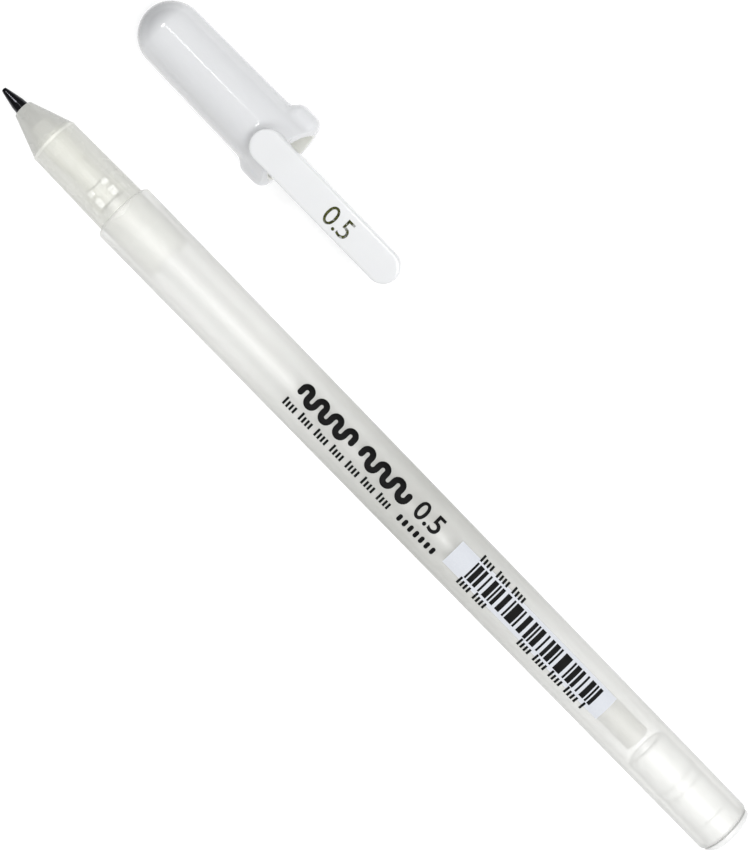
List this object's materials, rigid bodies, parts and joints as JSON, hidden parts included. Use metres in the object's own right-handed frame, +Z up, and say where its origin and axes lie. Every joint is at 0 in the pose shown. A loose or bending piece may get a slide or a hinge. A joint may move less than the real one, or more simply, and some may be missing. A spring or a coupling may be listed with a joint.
{
  "type": "gel pen",
  "caption": "Slim capped gel pen with a frosted tapering barrel, clear front cone, ball point and a white cap with a long clip, cap off beside it.",
  "frame": {"origin": "on the table, at the middle of the box around the pen and its cap", "axes": "+X from the nib to the tail along the pen, +Y from the pen to the cap, +Z up from the table"},
  "size_m": [0.1466, 0.0335, 0.0128],
  "materials": {
    "barrel": "frosted translucent polypropylene, soft sheen",
    "tail_plug": "white moulded plastic, satin",
    "front_section": "clear moulded plastic with a slight warm tint, polished outside",
    "tip_holder": "natural translucent plastic",
    "nib": "turned and polished dark steel",
    "writing_ball": "polished carbide",
    "ink_tube": "clear drawn tube",
    "gel_ink": "white gel, wet",
    "follower_grease": "clear grease",
    "cap_shell": "opaque white plastic, high gloss outside, satin inside",
    "cap_tip_seal": "soft matt elastomer",
    "clip": "opaque white plastic, high gloss"
  },
  "bodies": {
    "barrel": {"barrel": "barrel", "tail_plug": "tail_plug"},
    "writing_unit": {"front_section": "front_section", "tip_holder": "tip_holder", "nib": "nib", "ink_tube": "ink_tube", "gel_ink": "gel_ink"},
    "writing_ball": {"writing_ball": "writing_ball"},
    "follower": {"follower_grease": "follower_grease"},
    "cap": {"cap_shell": "cap_shell", "cap_tip_seal": "cap_tip_seal"},
    "clip": {"clip": "clip"}
  },
  "joints": [
    {"name": "writing_unit_pull", "type": "slide", "parent": "barrel", "child": "writing_unit", "axis": [-1, 0, 0], "range_m": [0, 0.0451]},
    {"name": "ball_roll", "type": "hinge", "parent": "writing_unit", "child": "writing_ball", "pos_m": [-0.0731, -0.01187, 0.00475], "axis": [0, 1, 0], "continuous": true},
    {"name": "follower_travel", "type": "slide", "parent": "writing_unit", "child": "follower", "axis": [-1, 0, 0], "range_m": [0, 0.084], "deforming": ["gel_ink"]},
    {"name": "cap_carry", "type": "slide", "parent": "barrel", "child": "cap", "axis": [-0.9307, -0.3657, -0.0077], "range_m": [0, 0.06071]},
    {"name": "clip_flex", "type": "hinge", "parent": "cap", "child": "clip", "pos_m": [-0.03965, 0.00868, 0.01139], "axis": [0, -0.9659, -0.2588], "range_deg": [0, 5], "stiffness_Nm_per_rad": 1.2}
  ]
}
